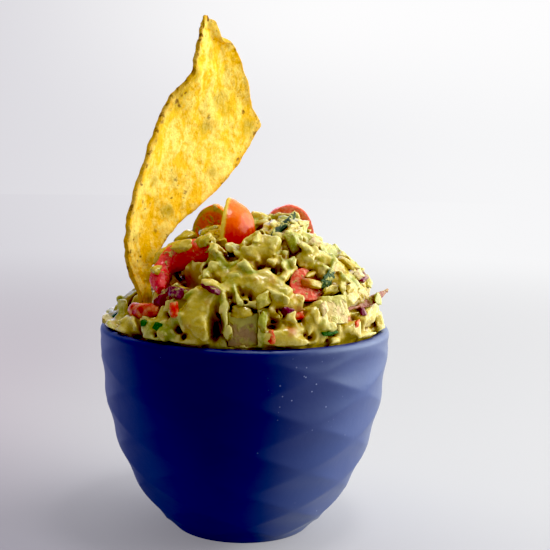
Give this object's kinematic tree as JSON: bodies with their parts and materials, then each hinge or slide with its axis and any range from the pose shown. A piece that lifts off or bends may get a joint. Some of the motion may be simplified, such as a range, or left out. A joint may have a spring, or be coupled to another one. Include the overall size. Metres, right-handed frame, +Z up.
{
  "type": "bowl of guacamole with tortilla chip",
  "caption": "Chunky guacamole heaped above the rim of a small scooped ceramic dip bowl, with tomato, onion and cilantro in it and a corn chip stood in the heap.",
  "frame": {"origin": "centre of the foot ring, on the surface that the bowl stands on", "axes": "+Z up; -Y towards the front, where the long scoops of the heap and the chip's hollow side face; +X to the right of someone facing the front"},
  "size_m": [0.088, 0.088, 0.1546],
  "materials": {
    "blue_glaze": "satin cobalt glaze with fine pale specks",
    "mashed_avocado": "moist and slightly glossy, from yellow-green to olive",
    "fried_corn": "dry and matte with toasted freckles and a faint oil sheen",
    "tomato": "wet skin and paler wet flesh",
    "red_onion": "wet and slightly clear, purple fading to pink",
    "white_onion": "wet and slightly clear, with faint layer lines",
    "cilantro": "wet dark leaf with paler veins"
  },
  "bodies": {
    "root": {"bowl": "blue_glaze", "guacamole": "mashed_avocado", "tortilla_chip": "fried_corn", "tomato_wedge_top": "tomato", "tomato_back_right": "tomato", "tomato_back_left": "tomato", "tomato_front": "tomato", "tomato_back_low": "tomato", "tomato_slice_left": "tomato", "tomato_strip_left": "tomato", "red_onion_left": "red_onion", "red_onion_strip_right": "red_onion", "onion_dice_front": "white_onion", "onion_dice_right": "white_onion", "onion_dice_back": "white_onion", "cilantro_leaf_top": "cilantro", "cilantro_leaf_front": "cilantro"}
  },
  "joints": []
}
